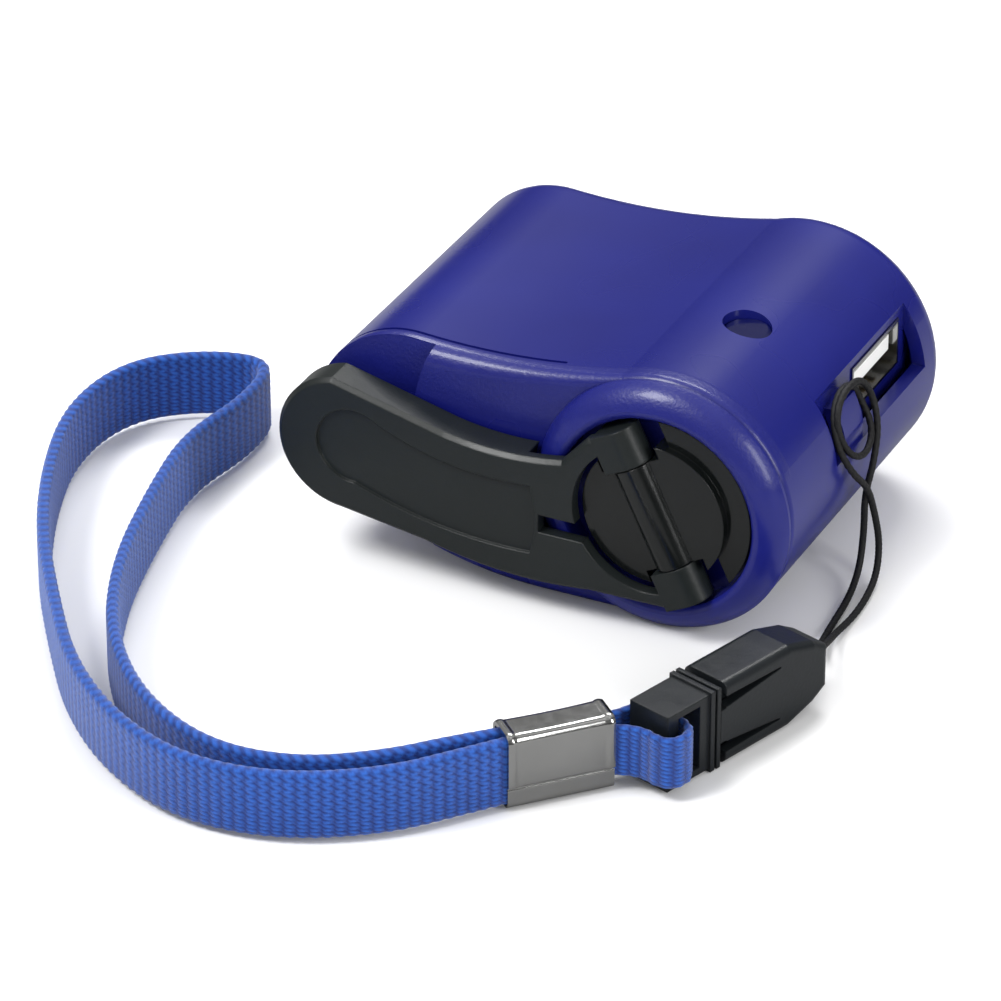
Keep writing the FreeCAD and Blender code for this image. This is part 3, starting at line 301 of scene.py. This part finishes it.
def even_steps(line, step):
    """The same line walked in equal steps."""
    lengths = [0.0]
    for a, b in zip(line, line[1:]):
        lengths.append(lengths[-1] + (b - a).length)
    count = max(2, round(lengths[-1] / step))
    walked = []
    at = 0
    for k in range(count + 1):
        target = lengths[-1] * k / count
        while at < len(line) - 2 and lengths[at + 1] < target:
            at += 1
        span = lengths[at + 1] - lengths[at]
        share = 0.0 if span < 1e-12 else (target - lengths[at]) / span
        walked.append(line[at].lerp(line[at + 1], share))
    return walked


def tangents(line):
    found = []
    for k in range(len(line)):
        a, b = line[max(0, k - 1)], line[min(len(line) - 1, k + 1)]
        found.append((b - a).normalized())
    return found


STITCH_PITCH = 1.3 * MM
STEPS_PER_STITCH = 4
WALE_PITCH = 0.95 * MM
STITCH_DEPTH = 0.17 * MM
STITCH_SLANT = 1.1
THREAD_SPACING = 0.45


def stitch(along, across):
    """Height from 0 to 1 of a knitted face, whose wales are columns of slanted paired stitches."""
    wale = across / WALE_PITCH
    side = wale - math.floor(wale) - 0.5
    slant = along / STITCH_PITCH - STITCH_SLANT * abs(side)
    yarn = 0.5 + 0.5 * math.cos(2 * math.pi * slant)
    leg = math.cos(math.pi * (abs(side) - 0.25) * 1.9)
    return max(0.0, yarn) ** 0.8 * max(0.0, leg) ** 0.7


def knit_band(name, line, width, thickness):
    """A flat knitted tube that stands on its edge along the line."""
    step = STITCH_PITCH / STEPS_PER_STITCH
    line = even_steps(line, step)
    directions = tangents(line)
    half_width = width / 2
    across_count = 2 * round(width / WALE_PITCH * 2) + 1
    section = []
    for k in range(across_count):
        across = -half_width + width * k / (across_count - 1)
        edge = min(1.0, (half_width - abs(across)) / (thickness * 0.6))
        section.append((across, thickness / 2 * (0.35 + 0.65 * math.sqrt(max(0.0, 1 - (1 - edge) ** 2)))))
    ring = [(a, t, 1) for a, t in section] + [(a, t, -1) for a, t in reversed(section)]
    mesh = bpy.data.meshes.new(name)
    vertices, heights, faces, uvs = [], [], [], []
    count = len(line)
    for k, (point, direction) in enumerate(zip(line, directions)):
        side = Vector((0, 0, 1)).cross(direction).normalized()
        up = direction.cross(side)
        for across, half, face in ring:
            height = stitch(k * step, across + half_width)
            out = half + STITCH_DEPTH * (height - 0.5)
            vertices.append(point + up * across + side * face * out)
            heights.append(height)
    size = len(ring)
    for k in range(count - 1):
        for j in range(size):
            after = (j + 1) % size
            faces.append((k * size + j, k * size + after, (k + 1) * size + after, (k + 1) * size + j))
            u0, u1 = k * step / MM, (k + 1) * step / MM
            v0, v1 = j * THREAD_SPACING, (j + 1) * THREAD_SPACING
            uvs.extend([(u0, v0), (u0, v1), (u1, v1), (u1, v0)])
    first = tuple(range(size - 1, -1, -1))
    last = tuple((count - 1) * size + j for j in range(size))
    faces.extend([first, last])
    uvs.extend([(0, 0)] * (2 * size))
    mesh.from_pydata([tuple(v) for v in vertices], [], faces)
    layer = mesh.uv_layers.new(name="UVMap")
    layer.data.foreach_set("uv", [c for uv in uvs for c in uv])
    attribute = mesh.attributes.new("stitch_height", "FLOAT", "POINT")
    attribute.data.foreach_set("value", heights)
    mesh.polygons.foreach_set("use_smooth", [True] * len(mesh.polygons))
    mesh.update()
    return add_piece(name, mesh, "strap_blue", "strap"), line


PLAIT_STEP = 0.12 * MM
PLAIT_LAY = 1.9 * MM
PLAIT_STRANDS = 3
PLAIT_DEPTH = 0.07


def braided_cord(name, line, diameter, body, slot):
    """A round cord whose surface is a plait of right and left hand strands."""
    line = even_steps(line, PLAIT_STEP)
    directions = tangents(line)
    sides = 16
    normal = directions[0].orthogonal().normalized()
    vertices, faces = [], []
    for k, (point, direction) in enumerate(zip(line, directions)):
        normal = (normal - direction * normal.dot(direction)).normalized()
        other = direction.cross(normal)
        for j in range(sides):
            angle = 2 * math.pi * j / sides
            turn = 2 * (2 * math.pi * k * PLAIT_STEP / PLAIT_LAY)
            plait = max(math.sin(PLAIT_STRANDS * angle + turn), math.sin(PLAIT_STRANDS * angle - turn))
            radius = diameter / 2 * (1 - PLAIT_DEPTH + PLAIT_DEPTH * plait)
            vertices.append(point + (normal * math.cos(angle) + other * math.sin(angle)) * radius)
    count = len(line)
    for k in range(count - 1):
        for j in range(sides):
            after = (j + 1) % sides
            faces.append((k * sides + j, k * sides + after, (k + 1) * sides + after, (k + 1) * sides + j))
    faces.extend([tuple(range(sides - 1, -1, -1)), tuple((count - 1) * sides + j for j in range(sides))])
    mesh = bpy.data.meshes.new(name)
    mesh.from_pydata([tuple(v) for v in vertices], [], faces)
    mesh.polygons.foreach_set("use_smooth", [True] * len(mesh.polygons))
    mesh.update()
    return add_piece(name, mesh, slot, body), line


# The wrist strap: out of the ferrule, round the wrist loop and back in

STRAP_WIDTH = 8.0 * MM
STRAP_THICKNESS = 1.4 * MM
STRAP_HEIGHT = 4.6
ROUTE_RESOLUTION = 24
FERRULE_ORIGIN = Vector((15.0, -60.0, 0.0))
FERRULE_TURN = math.radians(47.0)
BUCKLE_ORIGIN = Vector((30.0, -42.8, 0.0))
BUCKLE_TURN = math.radians(72.0)


def from_ferrule(along, aside, height=STRAP_HEIGHT):
    return FERRULE_ORIGIN + Matrix.Rotation(FERRULE_TURN, 3, "Z") @ Vector((along, aside, height))


def from_buckle(along, aside, height):
    return BUCKLE_ORIGIN + Matrix.Rotation(BUCKLE_TURN, 3, "Z") @ Vector((along, aside, height))


strap_route = mm([
    from_ferrule(3.0, -0.8), from_ferrule(-4.8, -1.4), (7.2, -71.2, 4.6), (-2.2, -77.0, 4.6),
    (-13.0, -78.2, 4.6), (-23.5, -73.9, 4.6), (-33.0, -66.0, 4.6), (-41.0, -55.4, 4.6),
    (-48.8, -44.2, 4.6), (-55.2, -31.8, 4.6), (-59.8, -18.5, 4.6), (-59.0, -7.2, 4.6),
    (-52.4, -0.8, 4.6), (-43.8, 1.2, 4.6), (-42.6, -7.9, 4.6), (-44.6, -18.5, 4.6),
    (-42.2, -31.0, 4.6), (-38.3, -46.0, 4.6), (-32.0, -59.0, 4.6), (-22.8, -69.2, 4.6),
    (-12.0, -74.6, 4.6), (-2.0, -73.6, 4.6), (6.0, -68.0, 4.6), from_ferrule(-4.8, 1.3),
    from_ferrule(3.0, 0.8),
])


strap, strap_line = knit_band("wrist_strap_knit", route_points(strap_route, ROUTE_RESOLUTION),
                              STRAP_WIDTH, STRAP_THICKNESS)
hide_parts("wrist_strap")

# The tab: from the ferrule round the plug's loop and back

TAB_HEIGHT = 4.76
TAB_WIDTH = 6.2 * MM
TAB_THICKNESS = 0.9 * MM
tab_route = mm([
    from_ferrule(9.0, 0.8, TAB_HEIGHT), from_ferrule(14.4, 0.9, TAB_HEIGHT),
    from_buckle(-4.7, 4.0, TAB_HEIGHT), from_buckle(-4.7, -4.0, TAB_HEIGHT),
    from_buckle(-9.4, -4.2, TAB_HEIGHT), from_ferrule(14.2, -1.6, TAB_HEIGHT),
    from_ferrule(9.0, -0.8, TAB_HEIGHT),
])
tab = knit_band("strap_tab_knit", route_points(tab_route, ROUTE_RESOLUTION), TAB_WIDTH, TAB_THICKNESS)[0]
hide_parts("strap_tab")

# The string: up from the socket, twice round the post, and down again

STRING_DIAMETER = 0.8 * MM
string_route = mm([
    (35.0, -25.5, 4.9), (34.3, -21.8, 2.7), (33.1, -17.6, 0.9), (32.3, -12.4, 0.45), (31.9, -7.0, 0.6),
    (31.3, -2.6, 1.9), (31.0, -0.9, 6.0), (31.2, -1.6, 10.8), (31.6, -0.2, 14.4), (30.8, 2.9, 17.6),
    (29.3, 3.7, 21.2), (29.0, 0.6, 24.0), (28.8, -3.8, 23.7), (29.2, -5.7, 20.8), (30.6, -4.9, 17.3),
    (31.2, -1.6, 15.7), (30.6, 1.9, 17.3), (28.7, 2.5, 20.4), (28.0, 1.0, 23.0), (28.0, -2.7, 23.3),
    (28.6, -5.2, 21.4), (29.7, -6.1, 18.6), (31.3, -5.4, 15.4), (31.7, -2.0, 12.2), (31.9, -0.2, 8.0),
    (32.3, 0.6, 4.0), (32.9, -1.4, 1.1), (33.5, -5.4, 0.5), (33.8, -10.0, 0.45), (33.7, -14.6, 0.9),
    (34.3, -18.4, 2.0), (35.2, -22.0, 3.6), (36.1, -25.7, 4.9),
])
STRING_RESOLUTION = 16
string, string_line = braided_cord("string_loop_plait", route_points(string_route, STRING_RESOLUTION),
                                   STRING_DIAMETER, "case", "string_black")
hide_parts("string_loop")

# The ferrule: plate folded round the strap, with rolled rims and a lapped seam low on its front

FERRULE_LENGTH, FERRULE_HEIGHT, FERRULE_THICKNESS = 12.0, 9.2, 4.6
FERRULE_SHEET = 0.5
FERRULE_CORNER = 1.0
FERRULE_RINGS = 61
FERRULE_SECTION_POINTS = 260
RIM_WIDTH, RIM_RISE = 1.0, 0.13
WAIST_DEPTH = 0.12
SEAM_HEIGHT, SEAM_SOFTNESS = 2.9, 0.05
LAP_DEPTH = 0.26
GROOVE_OFFSET, GROOVE_WIDTH, GROOVE_DEPTH = 0.1, 0.16, 0.12


def rounded_rectangle(half_y, half_z, radius, count):
    """Points at equal steps round an upright rounded rectangle, with the way out at each."""
    corners = []
    for sy, sz, start in ((1, 1, 0), (-1, 1, 90), (-1, -1, 180), (1, -1, 270)):
        for k in range(9):
            angle = math.radians(start + 90 * k / 8)
            corners.append(Vector((0, sy * (half_y - radius) + radius * math.cos(angle),
                                   sz * (half_z - radius) + radius * math.sin(angle))))
    round_it = sum((b - a).length for a, b in zip(corners, corners[1:]))
    line = even_steps(corners + corners[:1], round_it / count)[:-1]
    found = []
    for k, point in enumerate(line):
        ahead = line[(k + 1) % len(line)] - line[k - 1]
        found.append((point, Vector((0, ahead.z, -ahead.y)).normalized()))
    return found


def ferrule_relief(along, point):
    """How far the plate stands out from its plain form: rims, waist, and the lap below the seam."""
    from_end = min(along, FERRULE_LENGTH - along)
    rim = RIM_RISE * math.sin(math.pi * from_end / RIM_WIDTH) if from_end < RIM_WIDTH else 0.0
    waist = -WAIST_DEPTH * math.sin(math.pi * along / FERRULE_LENGTH)
    height = point.z + FERRULE_HEIGHT / 2
    if point.y > 0:
        return rim + waist
    below = 1 / (1 + math.exp((height - SEAM_HEIGHT) / SEAM_SOFTNESS))
    groove = math.exp(-((height - SEAM_HEIGHT + GROOVE_OFFSET) / GROOVE_WIDTH) ** 2)
    return (rim + waist) * (1 - below) - LAP_DEPTH * below - GROOVE_DEPTH * groove


def folded_ferrule():
    section = rounded_rectangle(FERRULE_THICKNESS / 2, FERRULE_HEIGHT / 2, FERRULE_CORNER,
                                FERRULE_SECTION_POINTS)
    rings = FERRULE_RINGS
    size = len(section)
    vertices = []
    for k in range(rings):
        along = FERRULE_LENGTH * k / (rings - 1)
        for point, out in section:
            outer = point + out * ferrule_relief(along, point)
            vertices.append(from_ferrule(along, outer.y, outer.z + FERRULE_HEIGHT / 2) * MM)
    for k in range(rings):
        along = FERRULE_LENGTH * k / (rings - 1)
        for point, out in section:
            inner = point - out * FERRULE_SHEET
            vertices.append(from_ferrule(along, inner.y, inner.z + FERRULE_HEIGHT / 2) * MM)
    inside = rings * size
    faces = []
    for k in range(rings - 1):
        for j in range(size):
            a, b = k * size + j, k * size + (j + 1) % size
            faces.append((a, b, b + size, a + size))
            faces.append((inside + a, inside + a + size, inside + b + size, inside + b))
    last = (rings - 1) * size
    for j in range(size):
        after = (j + 1) % size
        faces.append((j, inside + j, inside + after, after))
        faces.append((last + j, last + after, inside + last + after, inside + last + j))
    mesh = bpy.data.meshes.new("ferrule_plate")
    mesh.from_pydata([tuple(v) for v in vertices], [], faces)
    mesh.polygons.foreach_set("use_smooth", [True] * len(mesh.polygons))
    mesh.set_sharp_from_angle(angle=math.radians(40))
    mesh.update()
    return add_piece("ferrule_plate", mesh, "nickel", "strap")


ferrule = folded_ferrule()
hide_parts("ferrule")

# The studio: a pale floor, soft boxes and the camera

FLOOR_SIZE = 6.0
FLOOR_DROP = 0.05 * MM
FLOOR_TONES = (0.93, 0.93, 0.93), (0.95, 0.95, 0.95)
FLOOR_REFLECTED = (0.30, 0.30, 0.30)
floor_mesh = bpy.data.meshes.new("floor")
half = FLOOR_SIZE / 2
floor_corners = [(-half, -half, 0), (half, -half, 0), (half, half, 0), (-half, half, 0)]
floor_mesh.from_pydata(floor_corners, [], [(0, 1, 2, 3)])
floor = bpy.data.objects.new("floor", floor_mesh)
bpy.context.scene.collection.objects.link(floor)
floor.location.z = -FLOOR_DROP
floor_paint, tree, shader = new_material("floor_paint")
paint = blend_colours(tree, noise(tree, 8.0), *FLOOR_TONES)
# Glossy surfaces see a greyer floor, so that dark plastics keep their depth
glossy = tree.nodes.new("ShaderNodeLightPath").outputs["Is Glossy Ray"]
tree.links.new(blend_colours(tree, glossy, paint, FLOOR_REFLECTED), shader.inputs["Base Color"])
shader.inputs["Roughness"].default_value = 0.9
shader.inputs["Specular IOR Level"].default_value = 0.1
floor_mesh.materials.append(floor_paint)


def soft_box(name, place, target, width, height, power):
    data = bpy.data.lights.new(name, "AREA")
    data.shape = "RECTANGLE"
    data.size, data.size_y = width, height
    data.energy = power
    lamp = bpy.data.objects.new(name, data)
    bpy.context.scene.collection.objects.link(lamp)
    lamp.location = place
    lamp.rotation_mode = "QUATERNION"
    lamp.rotation_quaternion = (Vector(target) - Vector(place)).to_track_quat("-Z", "Y")
    return lamp


soft_box("key", (-0.35, -0.45, 0.75), (0, 0, 0), 0.3, 0.3, 6.0)
soft_box("top", (-0.15, 0.45, 0.75), (0, 0, 0), 0.45, 0.25, 4.6)
soft_box("side", (0.7, -0.2, 0.35), (0, 0, 0.01), 0.2, 0.4, 2.5)

world = bpy.data.worlds.new("studio")
bpy.context.scene.world = world
world.use_nodes = True
# A white room whose reflections fade from the ceiling down to darker walls, with soft patches
ROOM_LIGHT = 0.66
WALL_REFLECTED, CEILING_REFLECTED = 0.05, 0.55
tree = world.node_tree
background = tree.nodes["Background"]
background.inputs["Color"].default_value = (1, 1, 1, 1)
rays = tree.nodes.new("ShaderNodeLightPath")
axes = tree.nodes.new("ShaderNodeSeparateXYZ")
tree.links.new(tree.nodes.new("ShaderNodeTexCoord").outputs["Generated"], axes.inputs["Vector"])
graded = spread(tree, axes.outputs["Z"], WALL_REFLECTED, CEILING_REFLECTED, 0.15, 0.95)
patches = spread(tree, noise(tree, 2.4, 0.0), 0.0, 2.0)
reflected = arithmetic(tree, "MULTIPLY", graded, patches)
darker_by = arithmetic(tree, "SUBTRACT", ROOM_LIGHT, reflected)
lowered = arithmetic(tree, "MULTIPLY", darker_by, rays.outputs["Is Glossy Ray"])
tree.links.new(arithmetic(tree, "SUBTRACT", ROOM_LIGHT, lowered), background.inputs["Strength"])

CAMERA_AZIMUTH = math.radians(25.903)
CAMERA_ELEVATION = math.radians(30.22)
CAMERA_TARGET = Vector((-12.18, -4.1, 0.383)) * MM
CAMERA_DISTANCE = 687.7 * MM
SENSOR = 36.0
FOCAL_PIXELS, IMAGE_PIXELS = 6063.6, 1001
LENS = FOCAL_PIXELS / IMAGE_PIXELS * SENSOR

camera_data = bpy.data.cameras.new("camera")
camera = bpy.data.objects.new("camera", camera_data)
bpy.context.scene.collection.objects.link(camera)
back = Vector((math.sin(CAMERA_AZIMUTH) * math.cos(CAMERA_ELEVATION),
               -math.cos(CAMERA_AZIMUTH) * math.cos(CAMERA_ELEVATION), math.sin(CAMERA_ELEVATION)))
camera.location = CAMERA_TARGET + back * CAMERA_DISTANCE
camera.rotation_mode = "QUATERNION"
camera.rotation_quaternion = (-back).to_track_quat("-Z", "Y")
camera_data.sensor_width = SENSOR
camera_data.lens = LENS
camera_data.clip_start, camera_data.clip_end = 0.01, 20.0
bpy.context.scene.camera = camera
bpy.context.scene.view_settings.view_transform = "Standard"
